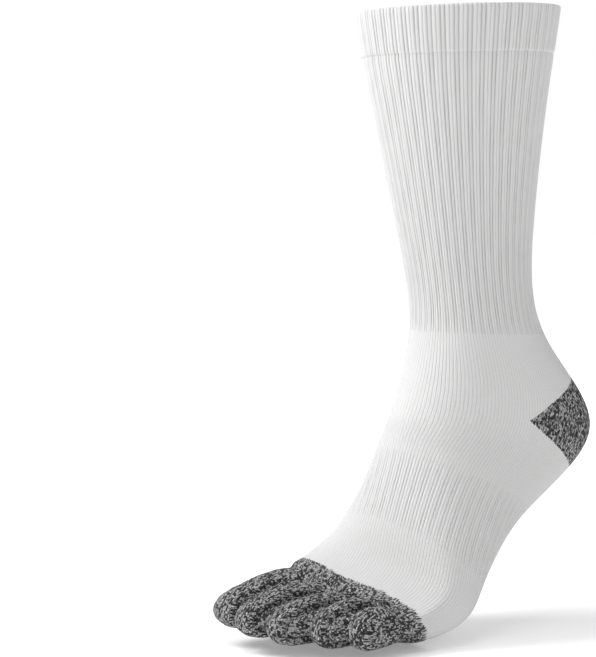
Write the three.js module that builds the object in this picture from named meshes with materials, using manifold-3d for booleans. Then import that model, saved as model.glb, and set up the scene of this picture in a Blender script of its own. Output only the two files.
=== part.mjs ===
// A crew toe sock for the left foot, in the form that it has when worn with the heel raised.
// Millimetres, +Z up, toes towards -Y, little toe towards +X. The origin is the middle of the cuff's mouth.
import * as THREE from 'three';
import { mergeVertices } from 'three/addons/utils/BufferGeometryUtils.js';
import Module from 'manifold-3d';

const wasm = await Module();
wasm.setup();

// The knitted wall, and the gap kept between two pieces that are knitted together
const WALL = 2;
const WELT_WALL = 2.8;
const SEAM_GAP = 0.3;

// Facets that a cut leaves smaller than this are joined with their neighbours
const SMALLEST_FACET = 0.05;

// The leg, from the cuff's mouth to where its ribs end
const LEG_LENGTH = 169.5;
const LEG_LEAN = 14.5;
const CUFF_HEIGHT = 24;
const CUFF_DEPTH = 108.5;
const CUFF_WIDTH = 106.5;
const ANKLE_DEPTH = 65.5;
const ANKLE_WIDTH = 66;

// The foot, from the end of the ribs to the line where the toe end starts. The arch band is longer
// under the sole than on the instep, by its slant.
const FOOT_DROP = 136.5;
const FOOT_REACH = 76.5;
const HEEL_DEPTH = 128;
const BALL_WIDTH = 92;
const ARCH_BAND_LENGTH = 40;
const ARCH_BAND_SLANT = 14;

// The heel pocket's point on the side of the foot, below the ribs and behind their middle
const HEEL_POINT_DROP = 45;
const HEEL_POINT_BACK = 8.5;
const HEEL_ANGLE_UP = 24;
const HEEL_ANGLE_DOWN = -33;

// Ribs: flat crests with a groove between each two
const RIB_COUNT = 48;
const RIB_DEPTH = 0.7;
const RIB_CREST = 0.66;
const FOOT_SIDES = 36;

// The toe end, from the toe line's middle to the longest toe's tip and down to the ground
const TOE_END_REACH = 72;
const TOE_END_DROP = 14.5;
const TOE_WIDTH = 20;
const TOE_HEIGHT = 24;
const TOE_SIDES = 16;

// Sections of the leg. down is a share of LEG_LENGTH, back of LEG_LEAN, tilt is in degrees,
// and flare goes from 0, the ankle's size, to 1, the cuff's.
const LEG_ROWS = [
  { name: 'rim', down: 0, back: 0, flare: 1, tilt: -2.4 },
  { name: 'welt', down: 0.14, back: 0, flare: 0.84, tilt: -1.8 },
  { name: 'calf', down: 0.34, back: 0.1, flare: 0.55, tilt: -1 },
  { name: 'shin', down: 0.58, back: 0.29, flare: 0.26, tilt: 0 },
  { name: 'low shin', down: 0.76, back: 0.48, flare: 0.06, tilt: 1 },
  { name: 'ankle', down: 0.9, back: 0.71, flare: 0, tilt: 1 },
];

// Sections of the foot. drop is a share of FOOT_DROP, ahead of FOOT_REACH, depth of HEEL_DEPTH and width
// of BALL_WIDTH. thin makes the instep lower towards the little toe, box makes a section squarer, and skew
// sets the little toe's side back. Each is 0 in a row that leaves it out.
const FOOT_ROWS = [
  { name: 'rib end', drop: 0, ahead: 0, tilt: 2, depth: 0.585, width: 0.72 },
  { name: 'tendon', drop: 0.09, ahead: -0.075, tilt: 5, depth: 0.72, width: 0.72 },
  { name: 'heel top', drop: 0.18, ahead: -0.147, tilt: 6, depth: 0.853, width: 0.72 },
  { name: 'heel', drop: 0.283, ahead: -0.181, tilt: 7, depth: 0.967, width: 0.72 },
  { name: 'heel low', drop: 0.379, ahead: -0.149, tilt: 9, depth: 1.005, width: 0.72 },
  { name: 'heel end', drop: 0.465, ahead: -0.004, tilt: 15, depth: 0.895, width: 0.74 },
  { name: 'arch top', drop: 0.566, ahead: 0.212, tilt: 26, depth: 0.73, width: 0.78, thin: 0.05 },
  { name: 'arch', drop: 0.687, ahead: 0.369, tilt: 27, depth: 0.61, width: 0.83, thin: 0.12, box: 0.1 },
  { name: 'arch low', drop: 0.819, ahead: 0.53, tilt: 29, depth: 0.536, width: 0.88, thin: 0.25, box: 0.3 },
  { name: 'ball', drop: 0.91, ahead: 0.621, tilt: 34, depth: 0.491, width: 0.95, thin: 0.45, box: 0.5 },
  { name: 'ball end', drop: 0.981, ahead: 0.75, tilt: 38, depth: 0.438, width: 0.98, thin: 0.7, box: 0.8 },
  { name: 'toe line', drop: 1.021, ahead: 1, tilt: 50, depth: 0.33, width: 0.92,
    thin: 0.82, box: 1, skew: -0.03 },
];

// Sections of the toe end. drop is a share of TOE_END_DROP and ahead of TOE_END_REACH, and the rest is as
// in the foot.
const TOE_END_ROWS = [
  { name: 'knuckles', drop: 0.17, ahead: 0.15, tilt: 62, depth: 0.275, width: 0.93,
    thin: 0.85, box: 1, skew: 0.05 },
  { name: 'webs', drop: 0.17, ahead: 0.27, tilt: 78, depth: 0.23, width: 0.91,
    thin: 0.6, box: 0.9, skew: 0.18 },
  { name: 'between toes', drop: 0.22, ahead: 0.34, tilt: 90, depth: 0.14, width: 0.85,
    thin: 0.3, box: 0.6, skew: 0.28 },
];

// Toe pockets, from their root in the toe end to their tip. Across places are shares of BALL_WIDTH, ahead
// places of TOE_END_REACH, wide of TOE_WIDTH, and high and rise, which is above the ground, of TOE_HEIGHT.
const TOE_ROWS = [
  { name: 'big_toe', rootAcross: -0.3, tipAcross: -0.33, rootAhead: 0.26, tipAhead: 0.97,
    wide: 1.4, high: 1.1, rise: 0.13 },
  { name: 'second_toe', rootAcross: -0.1, tipAcross: -0.1, rootAhead: 0.3, tipAhead: 1,
    wide: 1.1, high: 1, rise: 0.09 },
  { name: 'third_toe', rootAcross: 0.085, tipAcross: 0.09, rootAhead: 0.25, tipAhead: 0.91,
    wide: 1.05, high: 1, rise: 0.02 },
  { name: 'fourth_toe', rootAcross: 0.235, tipAcross: 0.265, rootAhead: 0.17, tipAhead: 0.69,
    wide: 1, high: 1, rise: -0.01 },
  { name: 'little_toe', rootAcross: 0.365, tipAcross: 0.405, rootAhead: 0.08, tipAhead: 0.505,
    wide: 0.95, high: 0.95, rise: -0.02 },
];

// Sections of every toe pocket. along is a share of its length, wide of its width, and low and top of
// its height.
const TOE_SECTIONS = [
  { along: 0, wide: 0.78, low: 0.08, top: 0.88 },
  { along: 0.25, wide: 0.94, low: 0.02, top: 0.99 },
  { along: 0.5, wide: 1, low: 0, top: 0.97 },
  { along: 0.74, wide: 0.98, low: 0.01, top: 0.87 },
  { along: 0.88, wide: 0.86, low: 0.08, top: 0.76 },
  { along: 0.96, wide: 0.6, low: 0.19, top: 0.62 },
  { along: 1, wide: 0.26, low: 0.33, top: 0.47 },
];

// Where the knitting of two neighbouring toes parts, from the big toe's side to the little toe's
const WEB_ROWS = [
  { across: -0.8, ahead: 0.37 },
  { across: -0.215, ahead: 0.42 },
  { across: -0.016, ahead: 0.37 },
  { across: 0.16, ahead: 0.335 },
  { across: 0.31, ahead: 0.18 },
  { across: 0.8, ahead: 0.04 },
];

const FULL_TURN = 2 * Math.PI;

// Every section as real sizes, in one list from the cuff's mouth to the toes
const ribEnd = { y: LEG_LEAN, z: -LEG_LENGTH };
const toeLine = { y: ribEnd.y - FOOT_REACH, z: ribEnd.z - FOOT_DROP };
const plainSides = { thin: 0, box: 0, skew: 0 };
const GROUND = toeLine.z - TOE_END_DROP;
const footSize = (row) => ({ halfDepth: row.depth * HEEL_DEPTH / 2, halfWidth: row.width * BALL_WIDTH / 2 });
const SECTIONS = [
  ...LEG_ROWS.map((row) => ({
    ...plainSides,
    ...row,
    y: row.back * LEG_LEAN,
    z: -row.down * LEG_LENGTH,
    halfDepth: THREE.MathUtils.lerp(ANKLE_DEPTH, CUFF_DEPTH, row.flare) / 2,
    halfWidth: THREE.MathUtils.lerp(ANKLE_WIDTH, CUFF_WIDTH, row.flare) / 2,
  })),
  ...FOOT_ROWS.map((row) => ({
    ...plainSides,
    ...row,
    ...footSize(row),
    y: ribEnd.y - row.ahead * FOOT_REACH,
    z: ribEnd.z - row.drop * FOOT_DROP,
  })),
  ...TOE_END_ROWS.map((row) => ({
    ...row,
    ...footSize(row),
    y: toeLine.y - row.ahead * TOE_END_REACH,
    z: toeLine.z - row.drop * TOE_END_DROP,
  })),
];
const COLUMNS = ['y', 'z', 'tilt', 'halfDepth', 'halfWidth', 'thin', 'box', 'skew'];
const LAST = SECTIONS.length - 1;

// The station, a place along the list of sections, of a section's name
function stationOf(name) {
  return SECTIONS.findIndex((section) => section.name === name);
}

// A smooth curve through one column of the sections
function columnAt(column, station) {
  const at = (i) => SECTIONS[THREE.MathUtils.clamp(i, 0, LAST)][column];
  const i = THREE.MathUtils.clamp(Math.floor(station), 0, LAST - 1);
  const t = station - i;
  const slopeIn = (at(i + 1) - at(i - 1)) / 2;
  const slopeOut = (at(i + 2) - at(i)) / 2;
  const rise = at(i + 1) - at(i);
  return at(i) + t * (slopeIn + t * (3 * rise - 2 * slopeIn - slopeOut + t * (slopeIn + slopeOut - 2 * rise)));
}

function sectionAt(station) {
  return Object.fromEntries(COLUMNS.map((column) => [column, columnAt(column, station)]));
}

// The station that lies a length further along the middle line
function stationAfter(start, length) {
  const step = 0.005;
  let station = start;
  let gone = 0;
  while (gone < length && station < LAST) {
    const here = sectionAt(station);
    const next = sectionAt(station + step);
    gone += Math.hypot(next.y - here.y, next.z - here.z);
    station += step;
  }
  return station;
}

// A sine or cosine, flattened for a squarer section
function squared(value, box) {
  return Math.sign(value) * Math.abs(value) ** (1 - 0.35 * box);
}

// A point of the knitted skin. Angle 0 is the shin and instep, a quarter turn the little toe's side, and
// lift is outwards.
function skinPoint(station, angle, lift) {
  const s = sectionAt(station);
  const side = squared(Math.sin(angle), s.box);
  const front = squared(Math.cos(angle), s.box);
  const across = (s.halfWidth + lift) * side;
  const thickness = (s.halfDepth + lift) * (front > 0 ? 1 - s.thin * side : 1);
  const tilt = THREE.MathUtils.degToRad(s.tilt);
  const y = s.y - thickness * front * Math.cos(tilt) + s.skew * across;
  return new THREE.Vector3(across, y, s.z + thickness * front * Math.sin(tilt));
}

// Angles and lifts round one section: plain, or with a flat crest and a groove for each rib
function roundOf(count) {
  return Array.from({ length: count }, (_, i) => ({ angle: (i / count) * FULL_TURN, lift: 0 }));
}

const footRound = roundOf(FOOT_SIDES);
const ribbedRound = roundOf(RIB_COUNT).flatMap(({ angle }) => {
  const pitch = FULL_TURN / RIB_COUNT;
  return [
    { angle: angle - (RIB_CREST * pitch) / 2, lift: 0 },
    { angle: angle + (RIB_CREST * pitch) / 2, lift: 0 },
    { angle: angle + pitch / 2, lift: -RIB_DEPTH },
  ];
});

// A loop round the skin. A slant sets it further along, by nothing on the instep and by the whole slant
// under the sole.
function ring(station, round, lift, slant = 0) {
  return round.map((place) => {
    const further = (slant * (1 - Math.cos(place.angle))) / 2;
    return skinPoint(station + further, place.angle, place.lift + lift);
  });
}

// A closed solid through loops of points. Consecutive loops may differ in count by a whole factor.
function solidThrough(loops, closed) {
  const positions = [];
  const starts = [];
  for (const loop of loops) {
    starts.push(positions.length / 3);
    for (const point of loop) positions.push(point.x, point.y, point.z);
  }
  const index = [];
  const join = (a, b) => {
    const many = Math.max(loops[a].length, loops[b].length);
    const at = (k, i) => starts[k] + Math.floor(((i % many) * loops[k].length) / many);
    for (let i = 0; i < many; i += 1) {
      if (at(b, i) !== at(b, i + 1)) index.push(at(a, i), at(b, i), at(b, i + 1));
      if (at(a, i) !== at(a, i + 1)) index.push(at(a, i), at(b, i + 1), at(a, i + 1));
    }
  };
  for (let k = 0; k + 1 < loops.length; k += 1) join(k, k + 1);
  if (closed) {
    join(loops.length - 1, 0);
  } else {
    addCap(loops, starts, positions, index, 0, false);
    addCap(loops, starts, positions, index, loops.length - 1, true);
  }
  const geometry = new THREE.BufferGeometry();
  geometry.setAttribute('position', new THREE.Float32BufferAttribute(positions, 3));
  geometry.setIndex(index);
  return geometry;
}

// A cap of triangles from the middle of a loop
function addCap(loops, starts, positions, index, k, last) {
  const loop = loops[k];
  const middle = loop.reduce((sum, point) => sum.add(point), new THREE.Vector3()).divideScalar(loop.length);
  const centre = positions.length / 3;
  positions.push(middle.x, middle.y, middle.z);
  loop.forEach((_, i) => {
    const here = starts[k] + i;
    const next = starts[k] + ((i + 1) % loop.length);
    index.push(centre, last ? next : here, last ? here : next);
  });
}

// A tube of knitted wall between two stations, each end with its slant
function tubeWall(from, to, rings, round, wall, slantFrom = 0, slantTo = 0) {
  const innerRound = round === ribbedRound ? roundOf(RIB_COUNT) : round;
  const shares = Array.from({ length: rings + 1 }, (_, i) => i / rings);
  const ringAt = (share, places, lift) => {
    const station = THREE.MathUtils.lerp(from, to, share);
    return ring(station, places, lift, THREE.MathUtils.lerp(slantFrom, slantTo, share));
  };
  const outer = shares.map((share) => ringAt(share, round, 0));
  const inner = shares.map((share) => ringAt(share, innerRound, -wall)).reverse();
  return solidThrough([...outer, ...inner], true);
}

function toManifold(geometry) {
  const bare = geometry.clone();
  bare.deleteAttribute('normal');
  bare.deleteAttribute('uv');
  const merged = mergeVertices(bare, 1e-4);
  return new wasm.Manifold(new wasm.Mesh({
    numProp: 3,
    vertProperties: merged.attributes.position.array,
    triVerts: new Uint32Array(merged.index.array),
  }));
}

function toGeometry(manifold) {
  const mesh = manifold.simplify(SMALLEST_FACET).getMesh();
  const geometry = new THREE.BufferGeometry();
  geometry.setAttribute('position', new THREE.Float32BufferAttribute(mesh.vertProperties, 3));
  geometry.setIndex(new THREE.BufferAttribute(mesh.triVerts, 1));
  return geometry;
}

// A prism along X over an outline of (y, z) points
function prismAcross(outline) {
  const shape = new THREE.Shape(outline.map(([y, z]) => new THREE.Vector2(y, z)));
  const geometry = new THREE.ExtrudeGeometry(shape, { depth: 2 * BALL_WIDTH, bevelEnabled: false });
  geometry.translate(0, 0, -BALL_WIDTH);
  geometry.applyMatrix4(new THREE.Matrix4().set(0, 0, 1, 0, 1, 0, 0, 0, 0, 1, 0, 0, 0, 0, 0, 1));
  return toManifold(geometry);
}

// A prism along Z over an outline of (x, y) points, deep enough to hold the toe end
function prismUp(outline) {
  const shape = new THREE.Shape(outline.map(([x, y]) => new THREE.Vector2(x, y)));
  const geometry = new THREE.ExtrudeGeometry(shape, { depth: 2 * BALL_WIDTH, bevelEnabled: false });
  geometry.translate(0, 0, toeLine.z - BALL_WIDTH);
  return toManifold(geometry);
}

// The wedge of the heel pocket, widened by a margin
function heelWedge(margin) {
  const reach = 2 * HEEL_DEPTH;
  const up = THREE.MathUtils.degToRad(HEEL_ANGLE_UP);
  const down = THREE.MathUtils.degToRad(HEEL_ANGLE_DOWN);
  const backing = margin / Math.sin((up - down) / 2);
  const y = ribEnd.y + HEEL_POINT_BACK - backing;
  const z = ribEnd.z - HEEL_POINT_DROP;
  return prismAcross([
    [y, z],
    [y + reach * Math.cos(down), z + reach * Math.sin(down)],
    [y + reach * Math.cos(up), z + reach * Math.sin(up)],
  ]);
}

// A place in the toe end, across and ahead, at a height
function toePoint(across, ahead, z) {
  return new THREE.Vector3(across * BALL_WIDTH, toeLine.y - ahead * TOE_END_REACH, z);
}

// One toe as a solid, from inside the toe end to its round tip
function toeSolid(toe, inset) {
  const root = toePoint(toe.rootAcross, toe.rootAhead, 0);
  const tip = toePoint(toe.tipAcross, toe.tipAhead, 0);
  const ahead = new THREE.Vector3().subVectors(tip, root).normalize();
  const side = new THREE.Vector3().crossVectors(ahead, new THREE.Vector3(0, 0, 1));
  const length = root.distanceTo(tip) - inset;
  const loops = TOE_SECTIONS.map((section) => {
    const low = GROUND + (toe.rise + section.low * toe.high) * TOE_HEIGHT;
    const top = GROUND + (toe.rise + section.top * toe.high) * TOE_HEIGHT;
    const drawnIn = Math.min(inset, 0.4 * (top - low));
    const halfHeight = (top - low) / 2 - drawnIn;
    const halfWidth = (section.wide * toe.wide * TOE_WIDTH) / 2 - drawnIn;
    return Array.from({ length: TOE_SIDES }, (_, i) => {
      const angle = (i / TOE_SIDES) * FULL_TURN;
      const point = root.clone().addScaledVector(ahead, section.along * length);
      point.addScaledVector(side, halfWidth * Math.cos(angle));
      point.z = (low + top) / 2 + halfHeight * Math.sin(angle);
      return point;
    });
  });
  return toManifold(solidThrough(loops, false));
}

// The sections of the toe end as one solid, and the same with the five toes on it
function mittenSolid(from, inset) {
  const rings = 5;
  const end = LAST - inset / (SECTIONS[LAST - 1].y - SECTIONS[LAST].y);
  const stations = Array.from({ length: rings + 1 }, (_, i) => THREE.MathUtils.lerp(from, end, i / rings));
  return toManifold(solidThrough(stations.map((station) => ring(station, footRound, -inset)), false));
}

function toeEndSolid(from, inset) {
  return TOE_ROWS.reduce((solid, toe) => solid.add(toeSolid(toe, inset)), mittenSolid(from, inset));
}

// The room of one toe in front of the line of webs, drawn in by a margin at its sides and its root
function toeRoom(i, sideMargin, rootMargin) {
  const webs = WEB_ROWS.map((web) => toePoint(web.across, web.ahead, 0));
  const aim = (k) => {
    const toe = (a) => TOE_ROWS[THREE.MathUtils.clamp(a, 0, TOE_ROWS.length - 1)];
    return (toe(k - 1).tipAcross + toe(k).tipAcross) * BALL_WIDTH / 2;
  };
  const left = webs[i];
  const right = webs[i + 1];
  const outerLeft = i === 0 ? left.x : aim(i);
  const outerRight = i === TOE_ROWS.length - 1 ? right.x : aim(i + 1);
  const end = toeLine.y - 1.5 * TOE_END_REACH;
  return prismUp([
    [left.x + sideMargin, left.y - rootMargin],
    [outerLeft + sideMargin, end],
    [outerRight - sideMargin, end],
    [right.x - sideMargin, right.y - rootMargin],
  ]);
}

// The part of the toe end behind the line of webs
function behindWebs() {
  const webs = WEB_ROWS.map((web) => toePoint(web.across, web.ahead, 0));
  const back = toeLine.y + TOE_END_REACH;
  return prismUp([...webs.map((web) => [web.x, web.y]), [webs.at(-1).x, back], [webs[0].x, back]]);
}

const knitWhite = new THREE.MeshStandardMaterial({ color: 0xe6e6e4, roughness: 0.95, metalness: 0 });
const marlGrey = new THREE.MeshStandardMaterial({ color: 0x5f5e5d, roughness: 0.95, metalness: 0 });
const sock = new THREE.Group();

function addPiece(name, geometry, material) {
  const mesh = new THREE.Mesh(geometry, material);
  mesh.name = name;
  sock.add(mesh);
}

// Stations of the lines between pieces, and half a gap on each side of a line
const weltEnd = stationAfter(stationOf('rim'), CUFF_HEIGHT);
const ribsEnd = stationOf('rib end');
const archStart = stationOf('arch top');
const archEnd = stationAfter(archStart, ARCH_BAND_LENGTH);
const archSlant = stationAfter(archEnd, ARCH_BAND_SLANT) - archEnd;
const toeStart = stationOf('toe line');
const afterLine = (station) => stationAfter(station, SEAM_GAP);

addPiece('cuff', tubeWall(0, weltEnd, 2, ribbedRound, WELT_WALL), knitWhite);
addPiece('leg', tubeWall(afterLine(weltEnd), ribsEnd, 5, ribbedRound, WALL), knitWhite);
const ankle = toManifold(tubeWall(afterLine(ribsEnd), archStart, 9, footRound, WALL));
addPiece('ankle', toGeometry(ankle.subtract(heelWedge(SEAM_GAP))), knitWhite);
addPiece('heel', toGeometry(ankle.intersect(heelWedge(0))), marlGrey);
addPiece('arch_band', tubeWall(afterLine(archStart), archEnd, 2, ribbedRound, WALL, 0, archSlant), knitWhite);
addPiece('forefoot', tubeWall(afterLine(archEnd), toeStart, 4, footRound, WALL, archSlant, 0), knitWhite);

const toeFrom = afterLine(toeStart);
const toeEnd = toeEndSolid(toeFrom, 0).subtract(toeEndSolid(toeFrom - 0.1, WALL));
addPiece('toe_base', toGeometry(toeEnd.intersect(behindWebs())), marlGrey);
TOE_ROWS.forEach((toe, i) => {
  const outer = toeSolid(toe, 0).intersect(toeRoom(i, SEAM_GAP / 2, SEAM_GAP));
  const inner = toeSolid(toe, WALL).intersect(toeRoom(i, WALL, -WALL));
  addPiece(toe.name, toGeometry(outer.subtract(inner)), marlGrey);
});

export default sock;
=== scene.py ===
import math

import bmesh
import bpy
import numpy as np
from mathutils import Matrix, Vector


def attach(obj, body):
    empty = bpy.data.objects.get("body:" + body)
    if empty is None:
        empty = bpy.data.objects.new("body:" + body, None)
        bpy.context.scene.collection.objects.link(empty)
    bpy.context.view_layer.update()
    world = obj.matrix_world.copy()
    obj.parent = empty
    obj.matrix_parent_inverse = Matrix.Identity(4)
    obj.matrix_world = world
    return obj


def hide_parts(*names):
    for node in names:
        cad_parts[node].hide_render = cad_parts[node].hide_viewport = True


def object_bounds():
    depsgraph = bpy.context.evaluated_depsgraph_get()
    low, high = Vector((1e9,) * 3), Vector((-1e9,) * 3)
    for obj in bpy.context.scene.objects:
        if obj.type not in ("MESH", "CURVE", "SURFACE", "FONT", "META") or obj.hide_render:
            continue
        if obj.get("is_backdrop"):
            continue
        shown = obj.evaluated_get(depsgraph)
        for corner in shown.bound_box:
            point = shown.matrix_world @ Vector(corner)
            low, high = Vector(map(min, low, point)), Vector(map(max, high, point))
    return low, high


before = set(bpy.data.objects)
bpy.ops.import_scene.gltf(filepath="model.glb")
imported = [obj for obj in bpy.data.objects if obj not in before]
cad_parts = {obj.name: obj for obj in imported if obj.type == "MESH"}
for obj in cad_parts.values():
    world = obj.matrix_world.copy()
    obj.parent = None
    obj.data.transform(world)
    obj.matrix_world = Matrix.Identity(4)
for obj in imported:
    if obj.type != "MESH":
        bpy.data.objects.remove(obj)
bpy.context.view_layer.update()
mm = 0.001  # shapes are worked out in millimetres
print("frame loaded:", len(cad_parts), "nodes")

# The photograph's view: the little toe's side and a little of the front, nearly level with the calf
shot = {
    "azimuth": 49,
    "elevation": 3.5,
    "distance": 1.088,
    "aim": (0, 0, -0.1655),
    "seenAt": (456, 326),  # where the aim shows, in pixels from the top left
    "frameSize": (596, 657),
    "pixelFocus": 2056.3,  # the lens as pixels
    "sensor": 36,
}


def placeCamera(shot):
    a, e = math.radians(shot["azimuth"]), math.radians(shot["elevation"])
    back = Vector((math.sin(a) * math.cos(e), -math.cos(a) * math.cos(e), math.sin(e)))
    width, height = shot["frameSize"]
    ray = Vector((
        (shot["seenAt"][0] - width / 2) / shot["pixelFocus"],
        (height / 2 - shot["seenAt"][1]) / shot["pixelFocus"],
        1,
    )).normalized()
    # the level camera's pitch and heading that put the aim on that ray
    pitch = math.asin(-back.z / math.hypot(ray.y, ray.z)) - math.atan2(ray.y, ray.z)
    level = ray.z * math.cos(pitch) - ray.y * math.sin(pitch)
    heading = math.atan2(-back.y, -back.x) + math.atan2(ray.x, level)
    forward = Vector((
        math.cos(heading) * math.cos(pitch),
        math.sin(heading) * math.cos(pitch),
        math.sin(pitch),
    ))
    right = Vector((math.sin(heading), -math.cos(heading), 0))
    turn = Matrix((right, right.cross(forward), -forward)).transposed()
    data = bpy.data.cameras.new("camera")
    data.lens = shot["sensor"] * shot["pixelFocus"] / height
    camera = bpy.data.objects.new("camera", data)
    stand = Vector(shot["aim"]) + back * shot["distance"]
    camera.matrix_world = Matrix.Translation(stand) @ turn.to_4x4()
    bpy.context.scene.collection.objects.link(camera)
    bpy.context.scene.camera = camera


placeCamera(shot)
print("camera placed")

# Sections of the knitted skin, from the cuff's mouth to the toes, in millimetres and degrees: where the middle is,
# how far the section leans, its half sizes, what thins the instep, squares the section or sets a side back, and
# how far ahead of the middle it is widest
skinRows = [
    # name, y, z, tilt, halfDepth, halfWidth, thin, box, skew, widest
    ("rim", 0, 0, -2.4, 54.25, 53.25, 0, 0, 0, 0),
    ("welt", 0, -23.73, -1.8, 50.81, 50.01, 0, 0, 0, 0),
    ("calf", 1.45, -57.63, -1, 44.58, 44.14, 0, 0, 0, 0),
    ("shin", 4.21, -98.31, 0, 38.34, 38.27, 0, 0, 0, 0),
    ("lowShin", 6.96, -128.82, 1, 34.04, 34.22, 0, 0, 0, 0),
    ("ankle", 10.29, -152.55, 1, 32.75, 33, 0, 0, 0, 0),
    ("ribEnd", 14.5, -169.5, 2, 37.44, 33.12, 0, 0, 0, 0),
    ("tendon", 20.24, -181.78, 5, 46.08, 33.12, 0, 0, 0, 5),
    ("heelTop", 26, -194.07, 6, 54.85, 33.12, 0, 0, 0, 12),
    ("heel", 29.8, -208.13, 7, 63.5, 33.12, 0, 0, 0, 19),
    ("heelLow", 27.8, -221.23, 9, 66.2, 33.12, 0, 0, 0, 21),
    ("heelEnd", 16.5, -232.97, 15, 58.75, 34.04, 0, 0, 0, 15),
    ("archTop", -1.3, -246.76, 26, 46.3, 35.88, 0.05, 0, 0, 5),
    ("arch", -13.9, -263.28, 27, 39.2, 38.18, 0.12, 0.1, 0, 0),
    ("archLow", -26.05, -281.29, 29, 34.3, 40.48, 0.25, 0.3, 0, 0),
    ("ball", -33.01, -293.72, 34, 31.42, 43.7, 0.45, 0.5, 0, 0),
    ("ballEnd", -42.88, -303.41, 38, 28.03, 45.08, 0.7, 0.8, 0, 0),
    ("toeLine", -62, -308.87, 50, 21.12, 42.32, 0.79, 1, -0.03, 0),
    ("knuckles", -72.8, -308.46, 62, 17.6, 42.78, 0.85, 1, 0.05, 0),
    ("webs", -81.44, -308.46, 78, 14.72, 41.86, 0.6, 0.9, 0.18, 0),
    ("betweenToes", -86.48, -309.19, 90, 8.96, 39.1, 0.3, 0.6, 0.28, 0),
]
skinNames = [row[0] for row in skinRows]
skinTable = np.array([row[1:] for row in skinRows], float)
skinFit = {
    "sections": 1001,  # along the skin, worked out from its rows
    "turns": 1441,  # places round each section
    "boxing": 0.35,  # how square a box of 1 makes a section
    "evening": 30,  # how many neighbours on each side even out the change from one section to the next
    "rounds": 2,
}

knit = {
    "wales": 144,  # stitches round the sock
    "ribs": 48,
    "course": 1.25,  # height of a row of stitches
    "wall": 1.8,
    "hardEdge": 62,  # degrees between two faces, past which their edge shows
    "weltLength": 24,
    "archLength": 40,  # on the instep
    "archSlant": 14,  # how much longer the arch band is under the sole
}


def sectionAt(station):
    last = len(skinTable) - 1
    i = max(0, min(int(station), last - 1))
    t = station - i
    before, here, after, beyond = (skinTable[max(0, min(k, last))] for k in (i - 1, i, i + 1, i + 2))
    slopeIn, slopeOut, rise = (after - before) / 2, (beyond - here) / 2, after - here
    bend = 3 * rise - 2 * slopeIn - slopeOut + t * (slopeIn + slopeOut - 2 * rise)
    return here + t * (slopeIn + t * bend)


def evenedOut(sections, evening):
    padded = np.pad(sections, ((evening, evening), (0, 0)), mode="reflect", reflect_type="odd")
    summed = np.cumsum(np.vstack([0 * padded[:1], padded]), axis=0)
    return (summed[2 * evening + 1 :] - summed[: -2 * evening - 1]) / (2 * evening + 1)


fineStations = np.linspace(0, len(skinRows) - 1, skinFit["sections"])
fineSections = np.array([sectionAt(s) for s in fineStations])
for _ in range(skinFit["rounds"]):
    fineSections = evenedOut(fineSections, skinFit["evening"])
fineLengths = np.concatenate(([0], np.cumsum(np.hypot(*np.diff(fineSections[:, :2], axis=0).T))))


def lengthAt(name):
    return float(np.interp(skinNames.index(name), fineStations, fineLengths))


def ringPoints(sections, angles, lifts):
    y, z, tilt, halfDepth, halfWidth, thin, box, skew, widest = sections.T
    side, front = np.sin(angles), np.cos(angles)
    side = np.sign(side) * np.abs(side) ** (1 - skinFit["boxing"] * box)
    front = np.sign(front) * np.abs(front) ** (1 - skinFit["boxing"] * box)
    across = (halfWidth + lifts) * side
    reach = halfDepth - widest * np.sign(front) + lifts
    thickness = widest + reach * np.where(front > 0, 1 - thin * side, 1) * front
    lean = np.radians(tilt)
    ahead = y - thickness * np.cos(lean) + skew * across
    return np.stack([across, ahead, z + thickness * np.sin(lean)], 1)


# The angles that space stitches evenly round every section: turn 0 is the shin, and 0.25 is about the side of
# the little toe
fineTurns = np.linspace(0, 1, skinFit["turns"])
fineAngles = fineTurns * 2 * math.pi
evenAngles = []
for section in fineSections:
    steps = np.linalg.norm(np.diff(ringPoints(section[None], fineAngles, 0), axis=0), axis=1)
    around = np.concatenate(([0], np.cumsum(steps)))
    evenAngles.append(np.interp(fineTurns, around / around[-1], fineAngles))
evenAngles = np.array(evenAngles)


def skinPoints(lengths, turns, lifts):
    lengths, turns, lifts = np.broadcast_arrays(lengths, turns, lifts)
    place = np.interp(lengths, fineLengths, np.arange(len(fineLengths)))
    row = np.minimum(place.astype(int), len(fineLengths) - 2)
    share = (place - row)[:, None]
    sections = fineSections[row] * (1 - share) + fineSections[row + 1] * share
    turnPlace = turns * (len(fineTurns) - 1)
    column = np.clip(turnPlace.astype(int), 0, len(fineTurns) - 2)
    part = turnPlace - column
    above, below = (evenAngles[r, column] * (1 - part) + evenAngles[r, column + 1] * part for r in (row, row + 1))
    return ringPoints(sections, above * (1 - share[:, 0]) + below * share[:, 0], lifts)


def wrapSheet(turns, rows, liftOf, slantOf=None):
    # a grid wrapped round the skin: one column for each turn, and one row for each (length, lift), the top row
    # first. A slant sets a row further along towards the sole.
    sheet = bmesh.new()
    stitchMap = sheet.loops.layers.uv.new("Knit")
    across, down = len(turns) - 1, len(rows) - 1
    bmesh.ops.create_grid(sheet, x_segments=across, y_segments=down, size=0.5)
    turns = np.array(turns)
    sole = (1 - np.cos(turns * 2 * math.pi)) / 2
    lengths = [length + (slantOf(length) * sole if slantOf else 0 * sole) for length, _ in rows]
    rings = [
        skinPoints(lengths[k], turns, lift + liftOf(turns, length)) for k, (length, lift) in enumerate(rows)
    ]
    spots = {}
    for vert in sheet.verts:
        column = round((vert.co.x + 0.5) * across)
        row = down - round((vert.co.y + 0.5) * down)
        spots[vert] = (turns[column] * knit["wales"], lengths[row][column] / knit["course"])
        vert.co = rings[row][column] * mm
    for vert, spot in spots.items():
        for loop in vert.link_loops:
            loop[stitchMap].uv = spot
    bmesh.ops.remove_doubles(sheet, verts=sheet.verts[:], dist=1e-6)
    return sheet


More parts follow.
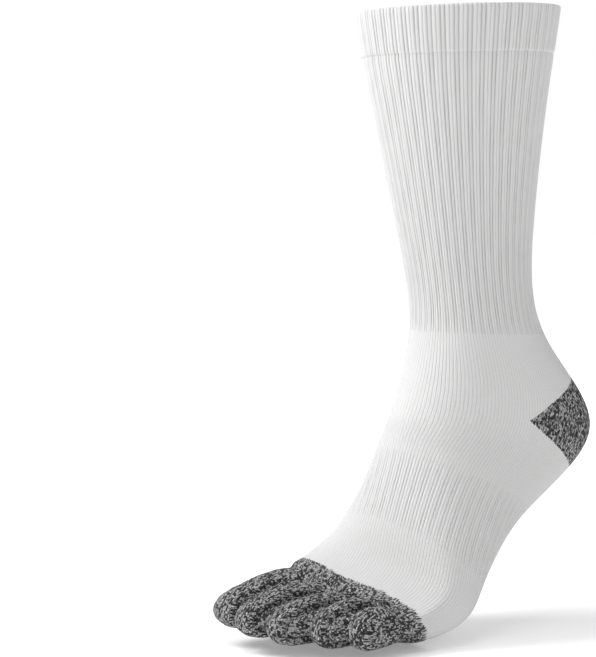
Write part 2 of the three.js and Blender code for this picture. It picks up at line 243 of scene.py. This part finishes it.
def finishPiece(name, mesh, nodes, material, wall=0):
    data = bpy.data.meshes.new(name)
    mesh.to_mesh(data)
    mesh.free()
    piece = bpy.data.objects.new(name, data)
    bpy.context.scene.collection.objects.link(piece)
    if wall:  # the skin gets its wall inwards, and a hard edge where the wall ends
        thicken = piece.modifiers.new("wall", "SOLIDIFY")
        thicken.thickness, thicken.offset, thicken.use_even_offset = wall * mm, -1, False
        bpy.context.view_layer.update()
        thickened = piece.evaluated_get(bpy.context.evaluated_depsgraph_get())
        walled = bpy.data.meshes.new_from_object(thickened)
        piece.modifiers.clear()
        piece.data = walled
        bpy.data.meshes.remove(data)
        data = walled
        data.name = name
    data.shade_smooth()
    data.set_sharp_from_angle(angle=math.radians(knit["hardEdge"]))
    data.materials.append(material)
    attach(piece, "root")
    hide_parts(*nodes)
    print(name, "made:", sum(len(p.vertices) - 2 for p in data.polygons), "triangles")


class Thread:
    # one output socket of a material, so that sums of sockets read as sums
    def __init__(self, dye, socket):
        self.dye = dye
        self.socket = socket

    def math(self, operation, *others):
        return self.dye.add("ShaderNodeMath", {"operation": operation}, dict(enumerate((self, *others))))

    def __add__(self, other):
        return self.math("ADD", other)

    def __sub__(self, other):
        return self.math("SUBTRACT", other)

    def __rsub__(self, other):
        return self.dye.add("ShaderNodeMath", {"operation": "SUBTRACT"}, {0: other, 1: self})

    def __mul__(self, other):
        return self.math("MULTIPLY", other)

    def __gt__(self, other):
        return self.math("GREATER_THAN", other)

    __radd__ = __add__
    __rmul__ = __mul__


class Dye:
    # a material's nodes
    def __init__(self, name):
        self.material = bpy.data.materials.new(name)
        self.material.use_nodes = True
        self.tree = self.material.node_tree
        self.tree.nodes.clear()

    def add(self, kind, settings=None, sockets=None, output=0):
        node = self.tree.nodes.new(kind)
        for key, value in (settings or {}).items():
            if key == "stops":
                for k, (place, grey) in enumerate(value):
                    stop = node.color_ramp.elements[k] if k < 2 else node.color_ramp.elements.new(place)
                    stop.position, stop.color = place, (grey, grey, grey, 1)
            else:
                setattr(node, key, value)
        for key, value in (sockets or {}).items():
            if isinstance(value, Thread):
                self.tree.links.new(value.socket, node.inputs[key])
            else:
                node.inputs[key].default_value = value
        return Thread(self, node.outputs[output]) if node.outputs else None

    def place(self):
        # a point's Object coordinates, the fourth output
        return self.add("ShaderNodeTexCoord", None, None, 3)

    def split(self, vector):
        node = self.tree.nodes.new("ShaderNodeSeparateXYZ")
        self.tree.links.new(vector.socket, node.inputs[0])
        return [Thread(self, out) for out in node.outputs]

    def vector(self, x, y, z=0.0):
        return self.add("ShaderNodeCombineXYZ", None, {0: x, 1: y, 2: z})

    def mix(self, factor, first, second, blend="MIX"):
        settings = {"data_type": "RGBA", "blend_type": blend}
        return self.add("ShaderNodeMix", settings, {0: factor, 6: first, 7: second}, 2)


def knittedYarn(name, finish):
    # plain knit: V stitches on the piece's own Knit map, a wale wide and a course high
    dye = Dye(name)
    place = dye.place()
    stitches = dye.add("ShaderNodeUVMap", {"uv_map": "Knit"})
    stitchColumn, v, _ = dye.split(stitches)
    drift = dye.add("ShaderNodeTexNoise", None, {"Vector": place, "Scale": finish["drift"], "Detail": 1.0})
    u = stitchColumn + (drift - 0.5) * finish["wander"]
    v = v + (drift - 0.5) * finish["wander"] * finish["wanderDown"]
    wale = u.math("FLOOR")
    across = u - wale - 0.5
    side = across > 0.0
    out = across.math("ABSOLUTE") * 2
    rise = v - out * finish["slant"]
    course = rise.math("FLOOR")
    along = (rise - course) * 2 - 1
    yarn = 1 - along * along
    middle = out * 2 - 1
    leg = 1 - middle * middle
    wales = 1 - out * out * out  # low between two wales
    byYarn, byLeg, byWale = finish["rounding"]
    height = (1 - byYarn + yarn * byYarn) * (1 - byLeg - byWale + leg * byLeg + wales * byWale)
    loop = wale * 2 + side

    # white cotton, with shade painted between its stitches, and more painted shade in the grooves beside a rib's thin
    # stitch
    crest = finish["white"]
    gap = crest * finish["gap"]
    gapBlue, crestBlue = finish["blue"]
    clean = dye.mix(height, (gap, gap, gap * gapBlue, 1), (crest, crest, crest * crestBlue, 1))
    # painted shade in the rib grooves; the grooves themselves are real, in the rib geometry
    if finish["paintedGrooveShade"]:
        fromThin = ((stitchColumn * (knit["ribs"] / knit["wales"])).math("FRACT") - 0.5).math("ABSOLUTE")
        grooveShade = dye.add("ShaderNodeValToRGB", {"stops": finish["paintedGrooveShade"]}, {0: fromThin * 2})
        clean = dye.mix(1.0, clean, grooveShade, "MULTIPLY")

    # marl: a light and a dark yarn run together, so each loop shows one, the other or both
    loopSeed, edgeSeed = finish["seeds"]
    cast = dye.add(
        "ShaderNodeTexWhiteNoise", {"noise_dimensions": "3D"}, {"Vector": dye.vector(loop, course, loopSeed)}
    )
    twistAcross, twistAlong = finish["twist"]
    twist = dye.add(
        "ShaderNodeTexNoise", {"noise_dimensions": "2D"},
        {"Vector": dye.vector(u * twistAcross, rise * twistAlong), "Scale": 1.0, "Detail": 1.0, "Roughness": 0.5},
    )
    byCast, byTwist, less = finish["marlMix"]
    tone = cast * byCast + twist * byTwist - less
    ply = dye.add("ShaderNodeValToRGB", {"stops": finish["marl"]}, {0: tone})
    # painted shade between the marl's stitches, darker than either yarn
    dark = finish["marlGapShade"]
    marl = dye.mix(height, (dark, dark, dark, 1), ply)

    # where the marl starts, loop by loop
    if finish["marlFrom"] is None:
        colour = clean
    else:
        ragged = dye.add(
            "ShaderNodeTexWhiteNoise", {"noise_dimensions": "2D"}, {"Vector": dye.vector(loop, edgeSeed)}
        )
        turn = stitchColumn * (1 / knit["wales"])
        early = dye.add("ShaderNodeValToRGB", {"stops": finish["marlEarly"]}, {0: turn}) * finish["earlyRows"]
        reached = course + ragged * finish["ragged"] + early
        colour = dye.mix(reached > finish["marlFrom"], clean, marl)

    fuzzScale, fuzzHeight = finish["fuzz"]
    fuzz = dye.add("ShaderNodeTexNoise", None, {"Vector": place, "Scale": fuzzScale, "Detail": 2.0})
    relief = dye.add("ShaderNodeBump", None, {
        "Strength": finish["relief"],
        "Distance": finish["depth"] * mm,
        "Height": height + fuzz * fuzzHeight,
    })
    cloth = dye.add("ShaderNodeBsdfPrincipled", None, {
        "Base Color": colour,
        "Roughness": finish["roughness"],
        "Normal": relief,
        "Sheen Weight": finish["sheen"],
        "Sheen Roughness": finish["sheenRoughness"],
        "Specular IOR Level": finish["gloss"],
    })
    dye.add("ShaderNodeOutputMaterial", None, {"Surface": cloth})
    return dye.material


marlStops = [(0.0, 0.022), (0.36, 0.05), (0.49, 0.2), (0.61, 0.54), (1.0, 0.8)]
toeLineCourse = lengthAt("toeLine") / knit["course"]
whiteFinish = {
    "white": 0.8,
    "gap": 0.72,  # how dark the painted shade between stitches makes the white
    "blue": (1.005, 0.995),  # a cool tint in the painted shade of the gaps, and a warm one on the crests
    "slant": 0.9,  # of a stitch's two legs
    "wander": 0.3,  # how far stitches stray from their rows
    "wanderDown": 1.6,
    "drift": 160.0,
    "rounding": (0.45, 0.3, 0.55),  # of a row, of a leg and of a column
    "relief": 0.8,
    "depth": 0.5,
    "fuzz": (1700.0, 0.25),
    "roughness": 0.92,
    "sheen": 0.15,
    "sheenRoughness": 0.5,
    "gloss": 0.15,
    "paintedGrooveShade": None,
    "marl": marlStops,
    # the marl's painted shade between its stitches
    "marlGapShade": 0.016,
    "marlMix": (0.8, 0.5, 0.15),  # by loop, by twist, and what is taken off
    "twist": (1.9, 1.6),
    "seeds": (5.0, 2.0),
    "marlFrom": None,  # the row of stitches where the marl starts
    "ragged": 0.7,
    # how much earlier it starts, by turn, as a share of this many rows
    "earlyRows": 10,
    "marlEarly": [
        (0.0, 0.15), (0.09, 0.5), (0.17, 0.45), (0.23, 0.15), (0.3, 0.02), (0.7, 0.0), (0.87, 0.3), (1.0, 0.15),
    ],
}
whiteKnit = knittedYarn("whiteKnit", whiteFinish)
# painted shade across a rib, by distance from its thin stitch: darkest in the grooves beside it
grooveShadeStops = [(0.0, 0.95), (0.16, 0.92), (0.33, 0.84), (0.5, 0.95), (0.68, 1.0), (0.82, 1.0), (1.0, 0.94)]
ribbedKnit = knittedYarn("ribbedKnit", {**whiteFinish, "paintedGrooveShade": grooveShadeStops})
# the same painted groove shade, fainter, for the arch band's ribs
softGrooveShade = [(0.0, 0.97), (0.16, 0.96), (0.33, 0.91), (0.5, 0.97), (0.68, 1.0), (0.82, 1.0), (1.0, 0.98)]
archKnit = knittedYarn("archKnit", {**whiteFinish, "paintedGrooveShade": softGrooveShade})
forefootKnit = knittedYarn("whiteKnitIntoMarl", {**whiteFinish, "marlFrom": toeLineCourse})
marlKnit = knittedYarn("marlKnit", {
    **whiteFinish,
    "relief": 0.9,
    "depth": 0.7,
    "sheen": 0.05,
    "slant": 0.4,
    "wander": 0.9,
    "drift": 420.0,
    "rounding": (0.6, 0.6, 0.3),
    "marlFrom": -1e6,  # marl all over
})
print("materials made")

# Ribs: a crest two stitches wide, then a groove on each side of one thin raised stitch
ribs = {
    "phases": [0, 0.1, 0.18, 0.25, 0.3, 0.335, 0.37, 0.43, 0.5, 0.57, 0.63, 0.665, 0.7, 0.75, 0.82, 0.9],
    "profile": [(0, -0.3), (0.07, -0.42), (0.165, -1), (0.25, -0.4), (0.33, -0.05), (0.4, 0), (0.5, -0.35)],
    "uneven": 0.2,
    "unevenLength": 6.5,
    "unevenShift": 2.4,  # from one rib to the next
    "shallower": 0.3,  # towards the ankle
    "fade": 5.5,  # how slowly a rib dies away at its end
    "endRows": (1.8, 1.2, 0.6, 0),  # close rows before its end
    "endLength": 2.4,
    "unfaded": 99,  # how far past a piece a rib goes on where it doesn't die away
}
ribTurns = [(rib + phase) / knit["ribs"] for rib in range(knit["ribs"]) for phase in ribs["phases"]] + [1]
plainTurns = [i / (2 * knit["wales"]) for i in range(2 * knit["wales"] + 1)]


def ribLift(depth, start, end):
    places, heights = zip(*ribs["profile"])

    def lift(turns, length):
        toMiddle = np.abs((turns * knit["ribs"]) % 1 - 0.5)
        strength = min(1, max(0, (length - start) / ribs["fade"]), max(0, (end - length) / ribs["fade"]))
        rib = np.floor(turns % 1 * knit["ribs"])
        uneven = ribs["uneven"] * np.sin(length / ribs["unevenLength"] + rib * ribs["unevenShift"])
        shallower = 1 - ribs["shallower"] * min(1, length / lengthAt("ribEnd"))
        return depth * shallower * strength * (1 + uneven) * np.interp(toMiddle, places, heights)

    return lift


def plainLift(turns, length):
    return 0 * turns


def evenRows(start, end, step):
    count = max(1, round((end - start) / step))
    return [(start + (end - start) * k / count, 0) for k in range(count + 1)]


# The welt: knitted double and turned over at the top
welt = {
    "depth": 0.6,
    "thickness": 2.6,
    "swell": 0.12,
    "footRows": [(0, -0.4), (0.25, -0.1), (0.8, 0.15), (2, 0.15)],  # how far up from its foot, and the lift there
    "outsideRows": (18, 14, 10, 7, 4.5, 3),
    "insideRows": (4, 8, 13, 18),
    "lipRows": 9,
}


def makeWelt(welt):
    end, r = knit["weltLength"], welt["thickness"] / 2
    outside = [(end - up, lift) for up, lift in welt["footRows"]]
    outside += [(length, welt["swell"]) for length in welt["outsideRows"]]
    lip = [(r - r * math.sin(a), r * math.cos(a) - r) for a in np.linspace(0, math.pi, welt["lipRows"])]
    inside = [(length, -welt["thickness"]) for length in (*welt["insideRows"], end)]
    rows = outside + lip + inside
    sheet = wrapSheet(ribTurns, rows[::-1], ribLift(welt["depth"], -ribs["unfaded"], ribs["unfaded"]))
    rims = [edge for edge in sheet.edges if edge.is_boundary]
    bmesh.ops.bridge_loops(sheet, edges=rims)
    bmesh.ops.recalc_face_normals(sheet, faces=sheet.faces[:])
    finishPiece("turnedWelt", sheet, ["cuff"], ribbedKnit)


makeWelt(welt)

# The ribbed leg, drawn in a little where the welt is sewn to it
leg = {
    "depth": 0.6,
    "step": 3.4,
    "seamRows": [(-0.3, -0.4), (0.4, -0.4), (1.6, -0.1)],  # how far down from the welt, and the lift there
    "seamLength": 3,
}


def makeLeg(leg):
    start, end = knit["weltLength"], lengthAt("ribEnd")
    rows = [(start + down, lift) for down, lift in leg["seamRows"]]
    rows += evenRows(start + leg["seamLength"], end - ribs["endLength"], leg["step"])
    rows += [(end - back, 0) for back in ribs["endRows"]]
    sheet = wrapSheet(ribTurns, rows, ribLift(leg["depth"], -ribs["unfaded"], end))
    finishPiece("ribbedLeg", sheet, ["leg"], ribbedKnit, knit["wall"])


makeLeg(leg)

# The plain knit over the ankle, and the marl heel pocket that is a wedge of it, stitch by stitch
heelPocket = {
    "point": (23, -214.5),
    "up": 24,  # its edges' angles
    "down": -33,
    "course": 1.35,
}


def wedgeDepths(heelPocket, y, z):
    # how far a point is below the pocket's upper line and above its lower one
    y, z = y - heelPocket["point"][0], z - heelPocket["point"][1]
    up, down = math.radians(heelPocket["up"]), math.radians(heelPocket["down"])
    return y * math.sin(up) - z * math.cos(up), z * math.cos(down) - y * math.sin(down)


def makeAnkle(heelPocket):
    start, end = lengthAt("ribEnd"), lengthAt("archTop")
    for name, node, slot, material in (
        ("plainAnkle", "ankle", "white_knit", whiteKnit),
        ("heelPocket", "heel", "marl_knit", marlKnit),
    ):
        sheet = wrapSheet(plainTurns, evenRows(start, end, knit["course"] / 2), plainLift)
        stitchMap = sheet.loops.layers.uv.active
        cut = []
        for face in sheet.faces:
            middle = face.calc_center_median() / mm
            inHeel = min(wedgeDepths(heelPocket, middle.y, middle.z)) > 0
            if inHeel != (node == "heel"):
                cut.append(face)
        bmesh.ops.delete(sheet, geom=cut, context="FACES")
        if node == "heel":  # its rows of stitches run beside its two edges and meet in the middle
            for face in sheet.faces:
                for loop in face.loops:
                    above, below = wedgeDepths(heelPocket, loop.vert.co.y / mm, loop.vert.co.z / mm)
                    loop[stitchMap].uv.y = (above if above < below else -below) / heelPocket["course"]
        finishPiece(name, sheet, [node], material, knit["wall"])


makeAnkle(heelPocket)

# The ribbed band that grips the arch
archBand = {"depth": 0.45, "step": 2.2}
archStart = lengthAt("archTop")
archEnd = archStart + knit["archLength"]


def makeArchBand(archBand):
    rows = [(archStart + ahead, 0) for ahead in ribs["endRows"][::-1]]
    rows += evenRows(archStart + ribs["endLength"], archEnd - ribs["endLength"], archBand["step"])
    rows += [(archEnd - back, 0) for back in ribs["endRows"]]
    sheet = wrapSheet(
        ribTurns, rows, ribLift(archBand["depth"], archStart, archEnd),
        lambda length: knit["archSlant"] * (length - archStart) / knit["archLength"],
    )
    finishPiece("archBand", sheet, ["arch_band"], archKnit, knit["wall"])


makeArchBand(archBand)

# The plain knit of the ball, which goes on for two rows into the marl
forefoot = {"marlRows": 2}
capStart = lengthAt("toeLine") + forefoot["marlRows"] * knit["course"]


def makeForefoot():
    sheet = wrapSheet(
        plainTurns, evenRows(archEnd, capStart, knit["course"]), plainLift,
        lambda length: knit["archSlant"] * (capStart - length) / (capStart - archEnd),
    )
    finishPiece("ballKnit", sheet, ["forefoot"], forefootKnit, knit["wall"])


makeForefoot()

# The toe end: five plump toes pressed together and grown out of one flat root, in marl. Its sections are shares of
# a toe's own length, width and height.
toeEnd = {
    "ground": -320.5,
    "toes": [
        # name, node, rootX, rootY, tipX, tipY, width, height, rise, ridge
        ("bigToe", "big_toe", -27.6, -80.72, -30.36, -131.84, 27.5, 25.2, 3.1, 0.21),
        ("secondToe", "second_toe", -9.2, -83.6, -9.2, -134, 21.8, 24, 2.2, 0.1),
        ("thirdToe", "third_toe", 7.82, -80, 8.28, -127.52, 19.5, 24, 0.5, 0.03),
        ("fourthToe", "fourth_toe", 21.62, -74.24, 24.38, -111.68, 18.2, 24, -0.2, 0),
        ("littleToe", "little_toe", 33.58, -67.76, 37.26, -98.36, 18, 22.8, -0.5, -0.04),
    ],
    "sections": [
        # along, wide, low, top
        (-0.25, 0.66, 0.14, 0.78),
        (0, 0.86, 0.08, 0.92),
        (0.25, 0.97, 0.02, 1),
        (0.5, 1, 0, 0.98),
        (0.74, 0.98, 0.01, 0.88),
        (0.88, 0.86, 0.08, 0.76),
        (0.96, 0.6, 0.19, 0.62),
        (0.99, 0.34, 0.29, 0.52),
        (1, 0, 0.4, 0.4),
    ],
    "rings": [*np.linspace(-0.25, 0.85, 22), 0.88, 0.91, 0.935, 0.96, 0.975, 0.99, 1],  # along a toe
    "around": 41,  # points round a ring
    "ridgeReach": 0.7,  # how far along a toe its ridge goes
    "webs": [
        # x, y, how deep the toes curl in there, and over what length that starts
        (-73.6, -88.64, 0, 1),
        (-19.78, -92.24, 1.8, 16),
        (-1.47, -88.64, 2.6, 8),
        (14.72, -86.12, 2.8, 6),
        (28.52, -74.96, 2.8, 5),
        (73.6, -64.88, 0, 1),
    ],
    "tipsAhead": 60,  # how far ahead of the webs the lines between toes bear on their tips
    "crease": 3.6,  # how wide each toe's curl beside its neighbour is
    "creaseStart": 0.3,
    "rootBehind": 4,  # how far behind the toe line the flat root starts
    "rootRings": 24,
    "rootTurns": 97,
    "sink": 3.5,  # how far the flat root lies under the toes
    "searchBehind": 6,  # where the search for the skin's nearest section starts
    "searchRings": 90,
    "voxel": 0.8,
    "smoothing": 3,
    "smoothBy": 0.5,
    "blend": 6,  # how far from the toe line the toe end takes up the skin's own shape
    "crumb": 200,  # faces
    "stitch": (1.55, 1.2),
    "frontFacing": 0.72,  # how squarely a face looks ahead to count as front
    "sideFacing": 0.62,  # how little it looks up or down to count as side
    "chartStarts": (40, 90),  # keep the front's and the sides' stitches off those of the top
}


def closedTube(rings):
    # a grid wrapped through rings of points, its ends drawn to a point
    tube = bmesh.new()
    across, down = len(rings[0]) - 1, len(rings) - 1
    bmesh.ops.create_grid(tube, x_segments=across, y_segments=down, size=0.5)
    for vert in tube.verts:
        column = round((vert.co.x + 0.5) * across)
        vert.co = Vector(rings[down - round((vert.co.y + 0.5) * down)][column]) * mm
    bmesh.ops.remove_doubles(tube, verts=tube.verts[:], dist=1e-6)
    bmesh.ops.recalc_face_normals(tube, faces=tube.faces[:])
    return tube


def toeRings(toe, toeEnd):
    _, _, rootX, rootY, tipX, tipY, width, height, rise, ridge = toe
    root, tip = np.array([rootX, rootY]), np.array([tipX, tipY])
    ahead = (tip - root) / np.linalg.norm(tip - root)
    side = np.array([-ahead[1], ahead[0]])
    table = np.array(toeEnd["sections"])
    angles = np.linspace(0, 2 * math.pi, toeEnd["around"])
    rings = []
    for along in [toeEnd["rings"][0], *toeEnd["rings"]]:
        wide, low, top = (np.interp(along, table[:, 0], table[:, k]) for k in (1, 2, 3))
        if not rings:  # the root's end is drawn to a point
            wide, low, top = 0, 0.5, 0.5
        top += ridge * max(0, 1 - max(0, along) / toeEnd["ridgeReach"])
        low, top = (toeEnd["ground"] + rise + share * height for share in (low, top))
        flat = root + (tip - root) * along + np.outer(np.cos(angles) * wide * width / 2, side)
        rings.append(np.column_stack([flat, (low + top) / 2 + np.sin(angles) * (top - low) / 2]))
    return rings


def growToeEnd(toeEnd):
    merged = bmesh.new()
    shapes = [toeRings(toe, toeEnd) for toe in toeEnd["toes"]]
    start, end = lengthAt("toeLine") - toeEnd["rootBehind"], fineLengths[-1]
    turns = np.linspace(0, 1, toeEnd["rootTurns"])
    lengths = np.linspace(start, end, toeEnd["rootRings"])
    sinks = np.linspace(0, 1, toeEnd["rootRings"]) ** 0.5 * -toeEnd["sink"]
    mitten = [skinPoints(length, turns, sink) for length, sink in zip(lengths, sinks)]
    middles = [np.repeat(ring.mean(0)[None], len(turns), 0) for ring in (mitten[0], mitten[-1])]
    shapes.append([middles[0], *mitten, middles[1]])
    for rings in shapes:
        tube = closedTube(rings)
        data = bpy.data.meshes.new("toeShape")
        tube.to_mesh(data)
        tube.free()
        merged.from_mesh(data)
        bpy.data.meshes.remove(data)
    data = bpy.data.meshes.new("toeEnd")
    merged.to_mesh(data)
    merged.free()
    lump = bpy.data.objects.new("toeEnd", data)
    bpy.context.scene.collection.objects.link(lump)
    remesh = lump.modifiers.new("oneSkin", "REMESH")
    remesh.mode, remesh.voxel_size = "VOXEL", toeEnd["voxel"] * mm
    bpy.context.view_layer.update()
    skin = bmesh.new()
    skin.from_mesh(lump.evaluated_get(bpy.context.evaluated_depsgraph_get()).to_mesh())
    bpy.data.objects.remove(lump)
    for _ in range(toeEnd["smoothing"]):
        bmesh.ops.smooth_vert(
            skin, verts=skin.verts[:], factor=toeEnd["smoothBy"], use_axis_x=True, use_axis_y=True, use_axis_z=True
        )
    return skin


# Sections round the toe line, to find which one a point of the toe end lies in
nearLengths = np.linspace(lengthAt("toeLine") - toeEnd["searchBehind"], fineLengths[-1] - 0.01, toeEnd["searchRings"])
nearSections = [sectionAt(float(np.interp(length, fineLengths, fineStations))) for length in nearLengths]
nearMiddles = np.array([(0, s[0], s[1]) for s in nearSections])
nearLeans = [math.radians(s[2]) for s in nearSections]
nearFronts = np.array([(0, -math.cos(lean), math.sin(lean)) for lean in nearLeans])
nearNormals = np.cross([(1, s[7], 0) for s in nearSections], nearFronts)
nearRings = [skinPoints(length, fineTurns, 0) for length in nearLengths]


def onSkin(point):
    # the length and turn of the skin's point that a point lies over
    ahead = ((point - nearMiddles) * nearNormals).sum(1)
    ahead *= np.sign(ahead[0]) or 1
    k = int(np.argmax(ahead <= 0)) or len(ahead) - 1
    share = ahead[k - 1] / max(ahead[k - 1] - ahead[k], 1e-9)
    length = nearLengths[k - 1] + min(1, share) * (nearLengths[k] - nearLengths[k - 1])
    ring, middle, front = nearRings[k], nearMiddles[k], nearFronts[k]
    polar = np.unwrap(np.arctan2(ring[:, 0], (ring - middle) @ front))
    mine = math.atan2(point[0], (point - middle) @ front) % (2 * math.pi)
    return length, float(np.interp(mine, polar, fineTurns))


def betweenToes(k, y, toeEnd):
    # where the toes k and k + 1 meet, across the foot
    webX, webY, *_ = toeEnd["webs"][k]
    tips = (toeEnd["toes"][k - 1][4] + toeEnd["toes"][k][4]) / 2
    return webX + (tips - webX) * min(1, max(0, webY - y) / toeEnd["tipsAhead"])


def roomOf(point, toeEnd):
    # 0 for the root behind the webs, or the toe's number from the big toe on
    webs = toeEnd["webs"]
    if point[1] > np.interp(point[0], [w[0] for w in webs], [w[1] for w in webs]):
        return 0
    return next((k for k in range(1, 5) if point[0] < betweenToes(k, point[1], toeEnd)), 5)


def creaseAt(point, toeEnd):
    # how far a point near the line between two toes is drawn in
    deepest = 0
    for k in range(1, 5):
        _, webY, depth, start = toeEnd["webs"][k]
        near = 1 - abs(point[0] - betweenToes(k, point[1], toeEnd)) / toeEnd["crease"]
        ahead = toeEnd["creaseStart"] + (webY - point[1]) / start
        if near > 0 and ahead > 0:
            deepest = max(deepest, depth * near * near * min(1, ahead))
    return deepest


def toeStitches(face, ahead):
    # the charts that a toe's stitches lie on: its front, its sides, or its top and bottom
    side = Vector((-ahead.y, ahead.x, 0))
    up = Vector((0, 0, 1))
    frontStart, sideStart = toeEnd["chartStarts"]
    if abs(face.normal.dot(ahead)) > toeEnd["frontFacing"]:
        across, along, start = side, up, frontStart
    elif abs(face.normal.z) < toeEnd["sideFacing"]:
        across, along, start = up, ahead, sideStart
    else:
        across, along, start = side, ahead, 0
    wale, course = toeEnd["stitch"]
    places = [loop.vert.co for loop in face.loops]
    return [(place.dot(across) / mm / wale + start, place.dot(along) / mm / course) for place in places]


def settleCrumbs(skin, rooms, crumb):
    # a patch of fewer faces than this, cut off from its own piece, goes to the piece beside it
    seen = set()
    for start in skin.faces:
        if start in seen:
            continue
        seen.add(start)
        patch, beside = [start], []
        for face in patch:
            for near in (f for edge in face.edges for f in edge.link_faces):
                if rooms[near.index] != rooms[face.index]:
                    beside.append(rooms[near.index])
                elif near not in seen:
                    seen.add(near)
                    patch.append(near)
        if beside and len(patch) < crumb:
            for face in patch:
                rooms[face.index] = beside[0]


def makeToeEnd(toeEnd):
    skin = growToeEnd(toeEnd)
    # cut where the knit of the ball stops, and brought to meet it
    section = sectionAt(float(np.interp(capStart, fineLengths, fineStations)))
    lean = math.radians(section[2])
    front = Vector((0, -math.cos(lean), math.sin(lean)))
    across = Vector((1, section[7], 0))
    normal = across.cross(front)
    middle = Vector((0, section[0], section[1])) * mm
    if normal.y > 0:
        normal = -normal
    bmesh.ops.bisect_plane(
        skin, geom=skin.verts[:] + skin.edges[:] + skin.faces[:], dist=1e-7,
        plane_co=middle, plane_no=normal, clear_inner=True,
    )
    normal.normalize()
    for vert in skin.verts:
        beyond = (vert.co - middle).dot(normal) / mm
        if beyond < toeEnd["blend"]:
            length, turn = onSkin(np.array(vert.co) / mm)
            target = Vector(skinPoints([length], turn, 0)[0]) * mm
            weight = 1 - max(0, beyond) / toeEnd["blend"]
            vert.co = vert.co.lerp(target, weight * weight * (3 - 2 * weight))
    skin.normal_update()
    drawn = {vert: vert.normal * -creaseAt(vert.co / mm, toeEnd) * mm for vert in skin.verts}
    for vert, move in drawn.items():
        vert.co += move
    skin.faces.index_update()
    rooms = {face.index: roomOf(face.calc_center_median() / mm, toeEnd) for face in skin.faces}
    settleCrumbs(skin, rooms, toeEnd["crumb"])
    data = bpy.data.meshes.new("toeEnd")
    skin.to_mesh(data)
    skin.free()
    names = [("toeRoot", "toe_base")] + [toe[:2] for toe in toeEnd["toes"]]
    for room, (name, node) in enumerate(names):
        part = bmesh.new()
        part.from_mesh(data)
        part.faces.ensure_lookup_table()
        bmesh.ops.delete(part, geom=[f for f in part.faces if rooms[f.index] != room], context="FACES")
        stitchMap = part.loops.layers.uv.new("Knit")
        ahead = Vector((0, -1, 0))
        if room:
            _, _, rootX, rootY, tipX, tipY, *_ = toeEnd["toes"][room - 1]
            ahead = Vector((tipX - rootX, tipY - rootY, 0)).normalized()
        part.normal_update()
        for face in part.faces:
            for loop, spot in zip(face.loops, toeStitches(face, ahead)):
                loop[stitchMap].uv = spot
        finishPiece(name, part, [node], marlKnit, knit["wall"])
    bpy.data.meshes.remove(data)


makeToeEnd(toeEnd)

# A pale floor under the toes that glows, with a painted soft shade near the sock, a soft key from the left of the
# view, another from above, and even light all round
studio = {
    "floor": 0.9,
    "roughness": 0.9,
    "radius": 12,
    "under": 0.0002,
    "glow": [(0.15, 0.22), (0.6, 0.64)],  # the floor's painted glow, by distance from the sock as a share of the span: strong far off to keep the paper white, weaker near the sock for a painted soft shade there
    "glowSpan": 2,
    "sky": 0.48,
    "backdrop": 1,
    "aim": (0, 0, -0.16),
    "key": {"azimuth": -38, "elevation": 42, "distance": 1.8, "size": 0.9, "watts": 22},
    "top": {"azimuth": 5, "elevation": 74, "distance": 3, "size": 2.2, "watts": 30},
}


def addLight(name, light, aim):
    a, e = math.radians(light["azimuth"]), math.radians(light["elevation"])
    toLight = Vector((math.sin(a) * math.cos(e), -math.cos(a) * math.cos(e), math.sin(e)))
    data = bpy.data.lights.new(name, "AREA")
    data.shape, data.size, data.energy = "DISK", light["size"], light["watts"]
    lamp = bpy.data.objects.new(name, data)
    lamp.matrix_world = (
        Matrix.Translation(Vector(aim) + toLight * light["distance"])
        @ toLight.to_track_quat("Z", "Y").to_matrix().to_4x4()
    )
    bpy.context.scene.collection.objects.link(lamp)


def makeStudio(studio):
    low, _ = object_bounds()
    ground = bmesh.new()
    bmesh.ops.create_circle(ground, cap_ends=True, segments=64, radius=studio["radius"])
    bmesh.ops.translate(ground, verts=ground.verts[:], vec=(0, 0, low.z - studio["under"]))
    data = bpy.data.meshes.new("floor")
    ground.to_mesh(data)
    ground.free()
    paper = Dye("palePaper")
    grey = studio["floor"]
    away = paper.add("ShaderNodeVectorMath", {"operation": "LENGTH"}, {0: paper.place()}, 1)
    # the painted glow: dimmer near the sock, where it stands for a soft shadow
    glow = paper.add("ShaderNodeValToRGB", {"stops": studio["glow"]}, {0: away * (1 / studio["glowSpan"])})
    surface = paper.add("ShaderNodeBsdfPrincipled", None, {
        "Base Color": (grey, grey, grey, 1),
        "Roughness": studio["roughness"],
        "Emission Color": glow,
        "Emission Strength": 1.0,
    })
    paper.add("ShaderNodeOutputMaterial", None, {"Surface": surface})
    data.materials.append(paper.material)
    floor = bpy.data.objects.new("floor", data)
    bpy.context.scene.collection.objects.link(floor)
    floor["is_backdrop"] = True
    world = bpy.data.worlds.new("studio")
    world.use_nodes = True
    sky = next(node for node in world.node_tree.nodes if node.type == "BACKGROUND")
    sky.inputs["Color"].default_value = (1, 1, 1, 1)
    path = world.node_tree.nodes.new("ShaderNodeLightPath")
    seen = world.node_tree.nodes.new("ShaderNodeMapRange")
    seen.inputs["To Min"].default_value = studio["sky"]
    seen.inputs["To Max"].default_value = studio["backdrop"]
    world.node_tree.links.new(path.outputs["Is Camera Ray"], seen.inputs["Value"])
    world.node_tree.links.new(seen.outputs["Result"], sky.inputs["Strength"])
    bpy.context.scene.world = world
    addLight("keyLight", studio["key"], studio["aim"])
    addLight("topLight", studio["top"], studio["aim"])
    bpy.context.scene.view_settings.view_transform = "Standard"


makeStudio(studio)
print("studio made")
